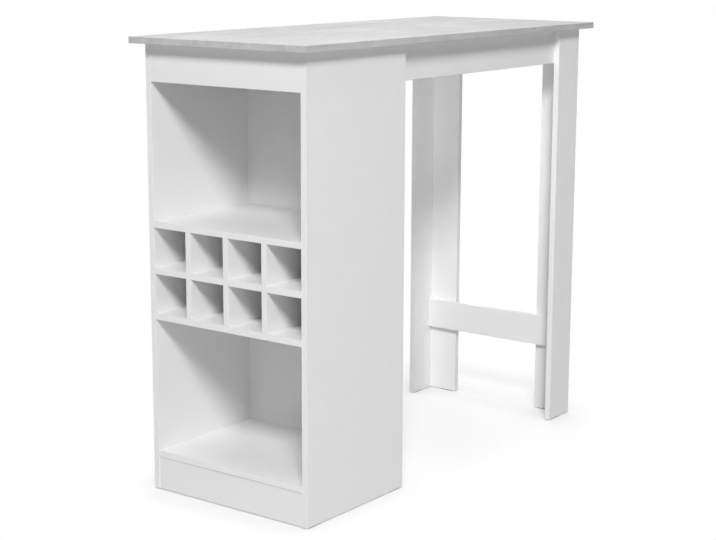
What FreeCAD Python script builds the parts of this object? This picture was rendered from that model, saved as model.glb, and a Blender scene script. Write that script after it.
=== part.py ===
import FreeCAD
import Part
import os

import Sketcher

# Bar table: an open cabinet carries one end of the top, two angle legs carry the other.
# Every panel is a flat board with broken edges. The boards meet in butt joints that cam fittings,
# dowels, screws and corner blocks hold; the cabinet back sits in grooves, each leg is a tongued
# corner of two boards, and the rack of cells is an egg-crate of cross-halved boards.
# Frame: origin on the floor under the middle of the top, +X from cabinet to legs, +Z up.
# The cabinet opens towards -X; left and right are those of a person who faces the opening.

# Driving dimensions, in millimetres; a share is a fraction of the length that it follows
SIZES = {
    # Tabletop, and how far it reaches past the boards under it
    "top_length": 1200,
    "top_width": 500,
    "top_thickness": 15,
    "table_height": 1050,
    "front_overhang": 30,
    "side_overhang": 21.5,
    "leg_overhang": 37,
    # All other boards
    "board_thickness": 15,
    "edge_arris": 0.6,
    # Cabinet carcass
    "cabinet_depth": 356,
    "fascia_height": 85,
    "plinth_height": 78,
    "plinth_setback": 2,
    "back_setback": 15,
    "groove_depth": 5,
    # Rack of cells
    "rack_lift": 407.5,
    "cell_height": 91.5,
    "halving_share": 0.5,
    # Aprons, angle legs and the stretcher between them
    "apron_height": 85,
    "leg_face_width": 99,
    "leg_return_width": 83,
    "tongue_thickness": 5,
    "tongue_length": 5,
    "stretcher_lift": 183,
    "stretcher_height": 80,
    # Glide strips under the board edges
    "glide_length": 40,
    "glide_width": 10,
    "glide_height": 2,
    "glide_inset": 30,
    # Dowels; the skin is the wood left behind a blind hole
    "dowel_diameter": 8,
    "dowel_length": 30,
    "dowel_skin": 5,
    # Cam fittings: a disc in the face of one board draws a bolt that is screwed in the other
    "cam_diameter": 15,
    "cam_skin": 3,
    "cam_setback": 34,
    "cam_slot_width": 2,
    "cam_slot_length": 9,
    "cam_slot_depth": 3,
    "bolt_diameter": 6,
    "bolt_skin": 4,
    "bolt_room": 1,
    "bolt_head_diameter": 7,
    "bolt_head_length": 4,
    # Countersunk screws and the flat caps that hide the ones in view
    "screw_diameter": 4,
    "screw_head_diameter": 8,
    "screw_skin": 5,
    "cap_diameter": 13,
    "cap_thickness": 0.8,
    # Corner blocks
    "block_side": 20,
    "block_nose": 8,
    "block_length": 40,
    # Room in a slot, round a fastener and past its end, and the overrun of an open cut
    "slot_clearance": 0.2,
    "fit_clearance": 0.1,
    "end_clearance": 0.5,
    "overrun": 5,
    # Places of the fasteners along the boards that they join
    "front_share": 0.3,
    "rear_share": 0.7,
    "middle_share": 0.5,
}
COLUMNS = 4
COUNTERSINK_ANGLE = 90
HANDS = ("left", "right")
AXES = ("X", "Y", "Z")
PLANE_ROLES = {"X": "YZ_Plane", "Y": "XZ_Plane", "Z": "XY_Plane"}
# Which way the normal of each origin plane points along its own axis
PLANE_SIGNS = {"X": 1, "Y": -1, "Z": 1}
SKETCH_AXES = {"X": ("Y", "Z"), "Y": ("X", "Z"), "Z": ("X", "Y")}
DIRECTIONS = {
    sign + axis: FreeCAD.Vector(*[factor * (axis == other) for other in AXES])
    for sign, factor in (("+", 1), ("-", -1))
    for axis in AXES
}

doc = FreeCAD.newDocument("bar_table")
sheet = doc.addObject("Spreadsheet::Sheet", "dim")
for row, (alias, size) in enumerate(SIZES.items(), start=1):
    sheet.set(f"A{row}", alias)
    sheet.set(f"B{row}", str(size))
    sheet.setAlias(f"B{row}", alias)
doc.recompute()

# Planes of the table, as expressions over the sheet; y planes are those of the left side
TOP_UNDERSIDE = "(dim.table_height - dim.top_thickness)"
UPRIGHT = ("dim.glide_height", TOP_UNDERSIDE)
CABINET_FRONT = "(dim.front_overhang - dim.top_length / 2)"
CABINET_REAR = f"({CABINET_FRONT} + dim.cabinet_depth)"
BACK_OUTER = f"({CABINET_REAR} - dim.back_setback)"
BACK_INNER = f"({BACK_OUTER} - dim.board_thickness)"
SHELF_DEPTH = f"({BACK_INNER} - {CABINET_FRONT})"
OUTER_SIDE = "(dim.top_width / 2 - dim.side_overhang)"
INNER_SIDE = f"({OUTER_SIDE} - dim.board_thickness)"
INNER_WIDTH = f"(2 * {INNER_SIDE})"
BACK_SIDE = f"({INNER_SIDE} + dim.groove_depth - dim.slot_clearance)"
LEG_OUTER = "(dim.top_length / 2 - dim.leg_overhang)"
LEG_INNER = f"({LEG_OUTER} - dim.board_thickness)"
LEG_FACE_EDGE = f"({LEG_OUTER} - dim.leg_face_width)"
RETURN_EDGE = f"({INNER_SIDE} - dim.leg_return_width)"
TONGUE_EDGE = f"({INNER_SIDE} + dim.tongue_length - dim.slot_clearance)"
RAIL_INNER = f"({LEG_INNER} - dim.board_thickness)"
APRON_INNER = f"({INNER_SIDE} - dim.board_thickness)"
APRON_LIFT = f"({TOP_UNDERSIDE} - dim.apron_height)"
APRON_LENGTH = f"({LEG_INNER} - {BACK_OUTER})"
FASCIA_LIFT = f"({TOP_UNDERSIDE} - dim.fascia_height)"
FASCIA_INNER = f"({CABINET_FRONT} + dim.board_thickness)"
PLINTH_FRONT = f"({CABINET_FRONT} + dim.plinth_setback)"
PLINTH_INNER = f"({PLINTH_FRONT} + dim.board_thickness)"
BOTTOM_LIFT = "(dim.glide_height + dim.plinth_height)"
CELL_WIDTH = f"(({INNER_WIDTH} - {COLUMNS - 1} * dim.board_thickness) / {COLUMNS})"
CELL_PITCH = "(dim.cell_height + dim.board_thickness)"
RACK_HEIGHT = "(2 * dim.cell_height + dim.board_thickness)"
RACK_FLOOR = "(dim.rack_lift + dim.board_thickness)"
HALVING_LINE = f"({CABINET_FRONT} + dim.halving_share * {SHELF_DEPTH})"
SHELF_LIFTS = {
    "cabinet_bottom_panel": BOTTOM_LIFT,
    "rack_bottom_shelf": "dim.rack_lift",
    "rack_middle_shelf": f"(dim.rack_lift + {CELL_PITCH})",
    "rack_top_shelf": f"(dim.rack_lift + 2 * {CELL_PITCH})",
}

# Fastener sizes that follow the boards
DOWEL_SUNK = "(dim.board_thickness - dim.dowel_skin)"
DOWEL_HOLE = "(dim.dowel_diameter + 2 * dim.fit_clearance)"
CAM_DEPTH = "(dim.board_thickness - dim.cam_skin)"
CAM_BORE = "(dim.cam_diameter + 2 * dim.fit_clearance)"
CAM_BORE_DEPTH = f"({CAM_DEPTH} + dim.end_clearance)"
CAM_CHAMBER = "(dim.bolt_head_diameter + 4 * dim.fit_clearance)"
CAM_CHAMBER_REACH = "((dim.cam_diameter + dim.bolt_head_length) / 2 + dim.fit_clearance)"
BOLT_SUNK = "(dim.board_thickness - dim.bolt_skin)"
BOLT_PILOT = "(dim.bolt_diameter + 2 * dim.fit_clearance)"
BOLT_BORE = "(dim.bolt_diameter + 2 * dim.bolt_room)"
SCREW_LENGTH = "(2 * dim.board_thickness - dim.screw_skin)"
SCREW_HEAD_HEIGHT = "((dim.screw_head_diameter - dim.screw_diameter) / 2)"
SCREW_HOLE = "(dim.screw_diameter + 2 * dim.fit_clearance)"


def number(expression):
    """Value that an expression over the sheet has now."""
    return float(sheet.evalExpression(expression))


def midway(low):
    """Middle of a board's thickness, from its lower face."""
    return f"({low} + dim.board_thickness / 2)"


def one_board(low):
    """Span of one board's thickness, from its lower face."""
    return low, f"({low} + dim.board_thickness)"


def along(low, length, share):
    """Place at a named share of a length."""
    return f"({low} + dim.{share} * {length})"


def wider(low, high, margin):
    """A span of two places with a margin at both ends."""
    return f"({low} - dim.{margin})", f"({high} + dim.{margin})"


def on_side(hand, place):
    """A y plane of the left side, or its mirror image on the right side."""
    return place if hand == "left" else f"(-{place})"


def low_side(hand, inner, outer):
    """Lower y plane of a board that lies between two planes of one side."""
    return inner if hand == "left" else f"(-{outer})"


def inward(hand):
    """Direction from one side of the table to its middle."""
    return "-Y" if hand == "left" else "+Y"


def opposite(side):
    return ("-" if side[0] == "+" else "+") + side[1]


def new_body(label):
    body = doc.addObject("PartDesign::Body", label)
    body.Label = label
    return body


def put(thing, point):
    """Tie the place of a body or a copy to the sheet."""
    for axis, place in zip("xyz", point):
        thing.setExpression(f"Placement.Base.{axis}", place)


def new_sketch(body, axis, height="0"):
    """A sketch across an axis, on the body's origin plane or at a height over it."""
    plane = next(item for item in body.Origin.OriginFeatures if item.Role == PLANE_ROLES[axis])
    sketch = body.newObject("Sketcher::SketchObject", f"{body.Label}_sketch")
    sketch.AttachmentSupport = [(plane, "")]
    sketch.MapMode = "FlatFace"
    if height != "0":
        sketch.setExpression("AttachmentOffset.Base.z", f"{PLANE_SIGNS[axis]} * {height}")
    return sketch


def hold(sketch, kind, *terms):
    """Add a dimension whose last term is an expression, and tie it to the sheet."""
    *places, expression = terms
    index = sketch.addConstraint(Sketcher.Constraint(kind, *places, number(expression)))
    sketch.setExpression(f"Constraints[{index}]", expression)


def hold_corner(sketch, index, kind, place):
    """Hold the first end of a line at a distance from the sketch's origin, along x or y."""
    if place == "0":
        sketch_axis = -2 if kind == "DistanceX" else -1
        sketch.addConstraint(Sketcher.Constraint("PointOnObject", index, 1, sketch_axis))
    elif number(place) > 0:
        hold(sketch, kind, -1, 1, index, 1, place)
    else:
        hold(sketch, kind, index, 1, -1, 1, f"-({place})")


def polygon(sketch, corners):
    """Closed outline through corners given as pairs of expressions."""
    points = [FreeCAD.Vector(number(across), number(up), 0) for across, up in corners]
    count = len(points)
    for index in range(count):
        sketch.addGeometry(Part.LineSegment(points[index], points[(index + 1) % count]))
    for index in range(count):
        sketch.addConstraint(Sketcher.Constraint("Coincident", index, 2, (index + 1) % count, 1))
    for index, (across, up) in enumerate(corners):
        hold_corner(sketch, index, "DistanceX", across)
        hold_corner(sketch, index, "DistanceY", up)


def rectangle(sketch, across, up):
    """Rectangle over two spans, each a pair of expressions."""
    polygon(sketch, [(across[0], up[0]), (across[1], up[0]), (across[1], up[1]), (across[0], up[1])])


def centred(size):
    """Span of a size about the origin."""
    return f"(-{size} / 2)", f"({size} / 2)"


def circle(sketch, diameter, centre=None):
    """Circle about the sketch's origin, or about a centre given as two expressions."""
    middle = FreeCAD.Vector(*[number(place) for place in centre or ("0", "0")], 0)
    index = sketch.addGeometry(Part.Circle(middle, DIRECTIONS["+Z"], number(diameter) / 2))
    if centre:
        hold(sketch, "DistanceX", -1, 1, index, 3, centre[0])
        hold(sketch, "DistanceY", -1, 1, index, 3, centre[1])
    else:
        sketch.addConstraint(Sketcher.Constraint("Coincident", -1, 1, index, 3))
    hold(sketch, "Diameter", index, diameter)


def pad(body, sketch, length, reverse=False):
    feature = body.newObject("PartDesign::Pad", f"{body.Label}_pad")
    feature.Profile = sketch
    feature.setExpression("Length", length)
    feature.Reversed = reverse
    doc.recompute()
    return feature


def prove_cut(body, feature):
    """Recompute a cut, and stop if it took nothing away."""
    before = body.Shape.Volume
    doc.recompute()
    if not body.Shape.Volume < before:
        raise RuntimeError(f"{feature.Label} cuts nothing")


def pocket(body, sketch, depth, reverse=False):
    feature = body.newObject("PartDesign::Pocket", f"{body.Label}_pocket")
    feature.Profile = sketch
    feature.setExpression("Length", depth)
    feature.Reversed = reverse
    prove_cut(body, feature)


class Board:
    """A flat board, given by the pairs of planes that it lies between along x, y and z."""

    def __init__(self, label, x, y, z, normal):
        self.spans = dict(zip(AXES, (x, y, z)))
        self.holes = {}
        self.body = new_body(label)
        outline = new_sketch(self.body, normal)
        rectangle(outline, *[("0", self.size(axis)) for axis in SKETCH_AXES[normal]])
        blank = pad(self.body, outline, self.size(normal), PLANE_SIGNS[normal] < 0)
        arris = self.body.newObject("PartDesign::Chamfer", f"{label}_arris")
        arris.Base = (blank, [""])
        arris.UseAllEdges = True
        arris.setExpression("Size", "dim.edge_arris")
        put(self.body, (x[0], y[0], z[0]))
        doc.recompute()

    def size(self, axis):
        low, high = self.spans[axis]
        return f"({high} - {low})"

    def local(self, axis, place):
        """A place along an axis, measured from the board's lowest corner."""
        return f"({place} - {self.spans[axis][0]})"

    def face(self, side):
        """Plane of one of the board's six sides, such as +X."""
        return self.spans[side[1]][side[0] == "+"]

    def side_sketch(self, side):
        """Sketch on one of the board's sides, and whether a cut from it has to be reversed."""
        axis = side[1]
        height = self.size(axis) if side[0] == "+" else "0"
        reverse = (side[0] == "+") != (PLANE_SIGNS[axis] > 0)
        return new_sketch(self.body, axis, height), reverse

    def cut_slot(self, side, across, up, depth):
        """Straight-sided cut from one side, over two spans of that side."""
        sketch, reverse = self.side_sketch(side)
        spans = zip(SKETCH_AXES[side[1]], (across, up))
        rectangle(sketch, *[[self.local(axis, place) for place in span] for axis, span in spans])
        pocket(self.body, sketch, depth, reverse)

    def drill(self, side, point, diameter, depth, head=None):
        """Note a hole to drill from one side; one with a countersunk head goes right through."""
        self.holes.setdefault((side, diameter, depth, head), []).append(dict(zip(AXES, point)))

    def cut_holes(self):
        """One cut for each kind of hole on each side."""
        for (side, diameter, depth, head), points in self.holes.items():
            sketch, reverse = self.side_sketch(side)
            for point in points:
                circle(sketch, diameter, [self.local(axis, point[axis]) for axis in SKETCH_AXES[side[1]]])
            if head:
                self.countersink(sketch, diameter, head, reverse)
            else:
                pocket(self.body, sketch, depth, reverse)

    def countersink(self, sketch, diameter, head, reverse):
        doc.recompute()
        hole = self.body.newObject("PartDesign::Hole", f"{self.body.Label}_countersink")
        hole.Profile = sketch
        hole.DepthType = "ThroughAll"
        hole.setExpression("Diameter", diameter)
        hole.HoleCutType = "Countersink"
        hole.HoleCutCustomValues = True
        hole.setExpression("HoleCutDiameter", head)
        hole.HoleCutCountersinkAngle = COUNTERSINK_ANGLE
        hole.Reversed = reverse
        prove_cut(self.body, hole)


class Fasteners:
    """Copies of one small piece, each put where a joint needs it, kept together as one node."""

    def __init__(self, label, body):
        self.label = label
        self.body = body
        self.copies = []

    def place(self, point, axis_side, across_side=None):
        """Turn the piece's own z axis to one side, and its x axis to another where that matters."""
        copy = doc.addObject("App::Link", f"{self.label}_copy")
        copy.LinkedObject = self.body
        axis = DIRECTIONS[axis_side]
        if across_side:
            across = DIRECTIONS[across_side]
            turn = FreeCAD.Rotation(across, axis.cross(across), axis, "ZXY")
        else:
            turn = FreeCAD.Rotation(DIRECTIONS["+Z"], axis)
        copy.Placement = FreeCAD.Placement(FreeCAD.Vector(), turn)
        put(copy, point)
        self.copies.append(copy)

    def gather(self):
        group = doc.addObject("Part::Compound", self.label)
        group.Label = self.label
        group.Links = self.copies
        return group


def make_dowel():
    """Plain dowel; its origin is on the joint plane, its z axis points into the board edge."""
    body = new_body("wood_dowel")
    outline = new_sketch(body, "Z", f"(-{DOWEL_SUNK})")
    circle(outline, "dim.dowel_diameter")
    pad(body, outline, "dim.dowel_length")
    return body


def make_cam():
    """Cam disc, its driver face at the origin, its x axis towards the bolt that it draws."""
    body = new_body("cam_disc")
    outline = new_sketch(body, "Z")
    circle(outline, "dim.cam_diameter")
    pad(body, outline, CAM_DEPTH, True)
    arm, thick = centred("dim.cam_slot_length"), centred("dim.cam_slot_width")
    for spans in ((arm, thick), (thick, arm)):
        cross = new_sketch(body, "Z")
        rectangle(cross, *spans)
        pocket(body, cross, "dim.cam_slot_depth")
    chamber = new_sketch(body, "X", "(dim.cam_diameter / 2)")
    level = [f"({half} - dim.board_thickness / 2)" for half in centred(CAM_CHAMBER)]
    rectangle(chamber, centred(CAM_CHAMBER), level)
    pocket(body, chamber, CAM_CHAMBER_REACH)
    return body


def make_bolt():
    """Cam bolt; its origin is on the joint plane, its head lies in the cam at the setback."""
    body = new_body("cam_bolt")
    shank = new_sketch(body, "Z", f"(-{BOLT_SUNK})")
    circle(shank, "dim.bolt_diameter")
    pad(body, shank, f"({BOLT_SUNK} + dim.cam_setback)")
    head = new_sketch(body, "Z", "(dim.cam_setback - dim.bolt_head_length / 2)")
    circle(head, "dim.bolt_head_diameter")
    pad(body, head, "dim.bolt_head_length")
    return body


def make_screw():
    """Countersunk screw, head flush at the origin, driven along its z axis."""
    body = new_body("panel_screw")
    profile = new_sketch(body, "Y")
    shank, head = "(dim.screw_diameter / 2)", "(dim.screw_head_diameter / 2)"
    polygon(profile, [
        ("0", "0"), (head, "0"), (shank, SCREW_HEAD_HEIGHT), (shank, SCREW_LENGTH), ("0", SCREW_LENGTH),
    ])
    turned = body.newObject("PartDesign::Revolution", "panel_screw_turned")
    turned.Profile = profile
    turned.ReferenceAxis = (profile, ["V_Axis"])
    doc.recompute()
    return body


def make_cap():
    """Flat cap, its back at the origin, its face along its z axis."""
    body = new_body("screw_cap")
    outline = new_sketch(body, "Z")
    circle(outline, "dim.cap_diameter")
    pad(body, outline, "dim.cap_thickness")
    return body


def make_glide():
    """Glide strip, on the floor at the origin, its length along its x axis."""
    body = new_body("floor_glide")
    outline = new_sketch(body, "Z")
    rectangle(outline, centred("dim.glide_length"), centred("dim.glide_width"))
    pad(body, outline, "dim.glide_height")
    return body


def make_block():
    """Corner block with a splayed nose; its corner runs along z through the origin."""
    body = new_body("corner_block")
    outline = new_sketch(body, "Z", "(-dim.block_length / 2)")
    side, nose = "dim.block_side", "dim.block_nose"
    polygon(outline, [("0", "0"), (side, "0"), (side, nose), (nose, side), ("0", side)])
    pad(body, outline, "dim.block_length")
    return body


boards = {}
dowels = Fasteners("wood_dowels", make_dowel())
cams = Fasteners("cam_discs", make_cam())
bolts = Fasteners("cam_bolts", make_bolt())
screws = Fasteners("panel_screws", make_screw())
caps = Fasteners("screw_caps", make_cap())
glides = Fasteners("floor_glides", make_glide())
blocks = Fasteners("corner_blocks", make_block())


def add_board(label, x, y, z, normal):
    boards[label] = Board(label, x, y, z, normal)


def dowel_joint(faced, edged, point, into):
    """Dowel from the face of one board into the edge of another."""
    boards[faced].drill(into, point, DOWEL_HOLE, f"({DOWEL_SUNK} + dim.end_clearance)")
    reach = f"(dim.dowel_length - {DOWEL_SUNK} + dim.end_clearance)"
    boards[edged].drill(opposite(into), point, DOWEL_HOLE, reach)
    dowels.place(point, into)


def cam_joint(faced, edged, point, into, mouth):
    """Cam bolt in the face of one board, drawn by a cam in the mouth side of the other."""
    boards[faced].drill(into, point, BOLT_PILOT, f"({BOLT_SUNK} + dim.end_clearance)")
    boards[edged].drill(opposite(into), point, BOLT_BORE, "dim.cam_setback")
    seat = dict(zip(AXES, point))
    seat[into[1]] = f"({seat[into[1]]} {into[0]} dim.cam_setback)"
    seat[mouth[1]] = boards[edged].face(mouth)
    boards[edged].drill(mouth, seat.values(), CAM_BORE, CAM_BORE_DEPTH)
    bolts.place(point, into)
    cams.place(seat.values(), mouth, opposite(into))


def screw_joint(held, holder, point, drive):
    """Countersunk screw through the face of one board into the face of the next."""
    head = "(dim.screw_head_diameter + 2 * dim.fit_clearance)"
    boards[held].drill(opposite(drive), point, SCREW_HOLE, None, head)
    depth = f"({SCREW_LENGTH} - dim.board_thickness + dim.end_clearance)"
    boards[holder].drill(opposite(drive), point, SCREW_HOLE, depth)
    screws.place(point, drive)


def block_joint(point, away, down):
    """Corner block in the corner of two faces, given by the directions away from them."""
    axis = DIRECTIONS[away].cross(DIRECTIONS[down])
    axis_side = next(side for side, direction in DIRECTIONS.items() if direction.isEqual(axis, 0))
    blocks.place(point, axis_side, away)


def build_tabletop():
    add_board(
        "tabletop",
        centred("dim.top_length"),
        centred("dim.top_width"),
        (TOP_UNDERSIDE, "dim.table_height"),
        "Z",
    )


def build_cabinet():
    """Sides, grooved for the back panel, then plinth, fascia, bottom panel and shelves."""
    width = (f"(-{INNER_SIDE})", INNER_SIDE)
    back_width = (f"(-{BACK_SIDE})", BACK_SIDE)
    for hand in HANDS:
        label = f"cabinet_side_{hand}"
        y = one_board(low_side(hand, INNER_SIDE, OUTER_SIDE))
        add_board(label, (CABINET_FRONT, CABINET_REAR), y, UPRIGHT, "Y")
        groove = wider(BACK_INNER, BACK_OUTER, "slot_clearance")
        boards[label].cut_slot(inward(hand), groove, wider(*UPRIGHT, "overrun"), "dim.groove_depth")
    add_board("cabinet_back_panel", one_board(BACK_INNER), back_width, UPRIGHT, "X")
    add_board("cabinet_plinth", one_board(PLINTH_FRONT), width, ("dim.glide_height", BOTTOM_LIFT), "X")
    add_board("cabinet_fascia", one_board(CABINET_FRONT), width, (FASCIA_LIFT, TOP_UNDERSIDE), "X")
    for label, lift in SHELF_LIFTS.items():
        add_board(label, (CABINET_FRONT, BACK_INNER), width, one_board(lift), "Z")


def build_dividers():
    """Dividers cross-halved with the middle shelf, which is slotted from its front edge."""
    shelf = boards["rack_middle_shelf"]
    height = (RACK_FLOOR, f"({RACK_FLOOR} + {RACK_HEIGHT})")
    for column in range(1, COLUMNS):
        label = f"rack_divider_{column}"
        y = one_board(f"({column} * {CELL_WIDTH} + {column - 1} * dim.board_thickness - {INNER_SIDE})")
        add_board(label, (CABINET_FRONT, BACK_INNER), y, height, "Y")
        rear_half = (f"({HALVING_LINE} - dim.slot_clearance)", f"({BACK_INNER} + dim.overrun)")
        front_half = (f"({CABINET_FRONT} - dim.overrun)", f"({HALVING_LINE} + dim.slot_clearance)")
        shelf_room = wider(*shelf.spans["Z"], "slot_clearance")
        divider_room = wider(*y, "slot_clearance")
        boards[label].cut_slot("-Y", rear_half, shelf_room, "dim.board_thickness")
        shelf.cut_slot("-Z", front_half, divider_room, "dim.board_thickness")


def build_legs():
    """Angle legs of two tongued boards, then the aprons and the stretcher that tie them."""
    overrun_height = wider(*UPRIGHT, "overrun")
    apron_height = (APRON_LIFT, TOP_UNDERSIDE)
    tongue = [f"({midway(LEG_INNER)} {sign} dim.tongue_thickness / 2)" for sign in "-+"]
    groove = wider(*tongue, "slot_clearance")
    shoulder = f"({TONGUE_EDGE} - {INNER_SIDE})"
    below = (f"({LEG_INNER} - dim.overrun)", tongue[0])
    above = (tongue[1], f"({LEG_OUTER} + dim.overrun)")
    for hand in HANDS:
        face, return_board = f"leg_face_{hand}", f"leg_return_{hand}"
        y = one_board(low_side(hand, INNER_SIDE, OUTER_SIDE))
        add_board(face, (LEG_FACE_EDGE, LEG_OUTER), y, UPRIGHT, "Y")
        boards[face].cut_slot(inward(hand), groove, overrun_height, "dim.tongue_length")
        low = low_side(hand, RETURN_EDGE, TONGUE_EDGE)
        reach = (low, f"({low} + {TONGUE_EDGE} - {RETURN_EDGE})")
        add_board(return_board, one_board(LEG_INNER), reach, UPRIGHT, "X")
        for rebate in (below, above):
            boards[return_board].cut_slot(opposite(inward(hand)), rebate, overrun_height, shoulder)
        y = one_board(low_side(hand, APRON_INNER, INNER_SIDE))
        add_board(f"apron_{hand}", (BACK_OUTER, LEG_INNER), y, apron_height, "Y")
    rail = one_board(RAIL_INNER)
    add_board("apron_end", rail, (f"(-{APRON_INNER})", APRON_INNER), apron_height, "X")
    stretcher_height = ("dim.stretcher_lift", "(dim.stretcher_lift + dim.stretcher_height)")
    add_board("leg_stretcher", rail, (f"(-{INNER_SIDE})", INNER_SIDE), stretcher_height, "X")


def join_shelves(hand):
    """Bottom panel on cams, the rack's top shelf on cams and dowels, its bottom shelf on dowels."""
    side, into = f"cabinet_side_{hand}", inward(hand)
    front_x, middle_x, rear_x = [
        along(CABINET_FRONT, SHELF_DEPTH, share) for share in ("front_share", "middle_share", "rear_share")
    ]

    def end(label, x):
        return x, on_side(hand, INNER_SIDE), midway(SHELF_LIFTS[label])

    cam_joint(side, "cabinet_bottom_panel", end("cabinet_bottom_panel", middle_x), into, "-Z")
    cam_joint(side, "rack_top_shelf", end("rack_top_shelf", front_x), into, "-Z")
    dowel_joint(side, "rack_top_shelf", end("rack_top_shelf", rear_x), into)
    for x in (front_x, rear_x):
        dowel_joint(side, "rack_bottom_shelf", end("rack_bottom_shelf", x), into)


def join_legs(hand):
    """Aprons screwed to both boards of the leg from inside, stretcher screwed on from outside."""
    outward = opposite(inward(hand))
    apron_middle = along(APRON_LIFT, "dim.apron_height", "middle_share")
    stretcher_middle = along("dim.stretcher_lift", "dim.stretcher_height", "middle_share")
    face_lap = f"(({LEG_FACE_EDGE} + {LEG_INNER}) / 2)"
    on_apron = (face_lap, on_side(hand, APRON_INNER), apron_middle)
    screw_joint(f"apron_{hand}", f"leg_face_{hand}", on_apron, outward)
    return_lap = on_side(hand, f"(({RETURN_EDGE} + {APRON_INNER}) / 2)")
    screw_joint("apron_end", f"leg_return_{hand}", (RAIL_INNER, return_lap, apron_middle), "+X")
    return_middle = on_side(hand, f"(({RETURN_EDGE} + {INNER_SIDE}) / 2)")
    on_return = (LEG_OUTER, return_middle, stretcher_middle)
    screw_joint(f"leg_return_{hand}", "leg_stretcher", on_return, "-X")
    caps.place(on_return, "+X")


def add_side_blocks(hand):
    """Corner blocks under the top and behind fascia, plinth and aprons, along one side."""
    into, inner, apron_inner = inward(hand), on_side(hand, INNER_SIDE), on_side(hand, APRON_INNER)
    for share in ("front_share", "rear_share"):
        block_joint((along(CABINET_FRONT, SHELF_DEPTH, share), inner, TOP_UNDERSIDE), into, "-Z")
        block_joint((along(BACK_OUTER, APRON_LENGTH, share), apron_inner, TOP_UNDERSIDE), into, "-Z")
    fascia_middle = along(FASCIA_LIFT, "dim.fascia_height", "middle_share")
    plinth_middle = along("dim.glide_height", "dim.plinth_height", "middle_share")
    apron_middle = along(APRON_LIFT, "dim.apron_height", "middle_share")
    block_joint((FASCIA_INNER, inner, fascia_middle), "+X", into)
    block_joint((PLINTH_INNER, inner, plinth_middle), "+X", into)
    block_joint((BACK_OUTER, apron_inner, apron_middle), "+X", into)
    block_joint((RAIL_INNER, apron_inner, apron_middle), "-X", into)


def add_middle_blocks():
    """Corner blocks on the middle line, under the top and under the bottom panel."""
    for plane, level, away in (
        (FASCIA_INNER, TOP_UNDERSIDE, "+X"),
        (BACK_INNER, TOP_UNDERSIDE, "-X"),
        (RAIL_INNER, TOP_UNDERSIDE, "-X"),
        (PLINTH_INNER, BOTTOM_LIFT, "+X"),
        (BACK_INNER, BOTTOM_LIFT, "-X"),
    ):
        block_joint((plane, "0", level), away, "-Z")


def add_glides(hand):
    """Glide strips under the cabinet side and under both boards of the leg."""
    side_middle = on_side(hand, midway(INNER_SIDE))
    for x in (f"({CABINET_FRONT} + dim.glide_inset)", f"({CABINET_REAR} - dim.glide_inset)"):
        glides.place((x, side_middle, "0"), "+Z", "+X")
    glides.place((f"({LEG_FACE_EDGE} + dim.glide_inset)", side_middle, "0"), "+Z", "+X")
    return_inset = on_side(hand, f"({RETURN_EDGE} + dim.glide_inset)")
    glides.place((midway(LEG_INNER), return_inset, "0"), "+Z", "+Y")


build_tabletop()
build_cabinet()
build_dividers()
build_legs()
for hand in HANDS:
    join_shelves(hand)
    join_legs(hand)
    add_side_blocks(hand)
    add_glides(hand)
add_middle_blocks()
for board in boards.values():
    board.cut_holes()
groups = [kind.gather() for kind in (dowels, cams, bolts, screws, caps, blocks, glides)]
doc.recompute()

# Every feature has to be sound before anything is written
for item in doc.Objects:
    if "Invalid" in item.State or "Error" in item.State:
        raise RuntimeError(f"{item.Label} failed: {item.State}")
sub_parts = [board.body for board in boards.values()] + groups
for item in sub_parts:
    if item.Shape.isNull() or not item.Shape.isValid():
        raise RuntimeError(f"{item.Label} has no valid shape")
os.makedirs("parts", exist_ok=True)
for item in sub_parts:
    item.Shape.exportStep(f"parts/{item.Label}.step")
    print(item.Label, len(item.Shape.Solids), "solids", round(item.Shape.Volume), "mm3")
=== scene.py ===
# %% [markdown]
# # A bar table of faced boards
# The table is flat-pack furniture: chipboard faced with melamine, white everywhere but on the top, which
# has a concrete look. An open cabinet with a rack of cells carries one end, two angle legs the other.
# The boards come from the CAD model and stay as they are. This lesson gives them their finishes, makes
# the small hardware that repeats, and sets the camera, the floor and the light.

# %% Load the table
import math

import bmesh
import bpy
from mathutils import Euler, Matrix, Vector


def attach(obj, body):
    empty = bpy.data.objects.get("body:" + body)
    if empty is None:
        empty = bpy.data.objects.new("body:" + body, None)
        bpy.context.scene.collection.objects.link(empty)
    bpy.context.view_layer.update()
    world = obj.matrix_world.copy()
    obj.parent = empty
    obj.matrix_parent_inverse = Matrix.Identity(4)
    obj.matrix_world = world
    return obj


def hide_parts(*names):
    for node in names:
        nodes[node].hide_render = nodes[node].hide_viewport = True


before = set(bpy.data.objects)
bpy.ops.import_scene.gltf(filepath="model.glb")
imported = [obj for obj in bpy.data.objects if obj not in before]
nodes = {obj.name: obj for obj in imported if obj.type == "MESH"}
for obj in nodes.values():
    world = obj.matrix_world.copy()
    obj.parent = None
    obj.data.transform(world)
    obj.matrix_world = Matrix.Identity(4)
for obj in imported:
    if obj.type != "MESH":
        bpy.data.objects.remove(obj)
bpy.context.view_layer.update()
scene = bpy.context.scene
MM = 0.001

# %% [markdown]
# ## The camera
# The camera stands off the cabinet's near corner, just over the height of the top, with a long lens. A
# camera can be aimed with a constraint, but the photograph is tilted by a hair, so the place, heading,
# tilt and roll are set straight. Blender's camera looks down its own -Z axis: it is first tilted up from
# there, then turned about the upright axis.

# %% Camera
CAMERA_PLACE = Vector((-3.218, -2.353, 1.272))
CAMERA_HEADING = math.radians(-53.09)
CAMERA_TILT = math.radians(90 - 11.55)
CAMERA_ROLL = math.radians(0.17)
LENS_MM = 82.58

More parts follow.
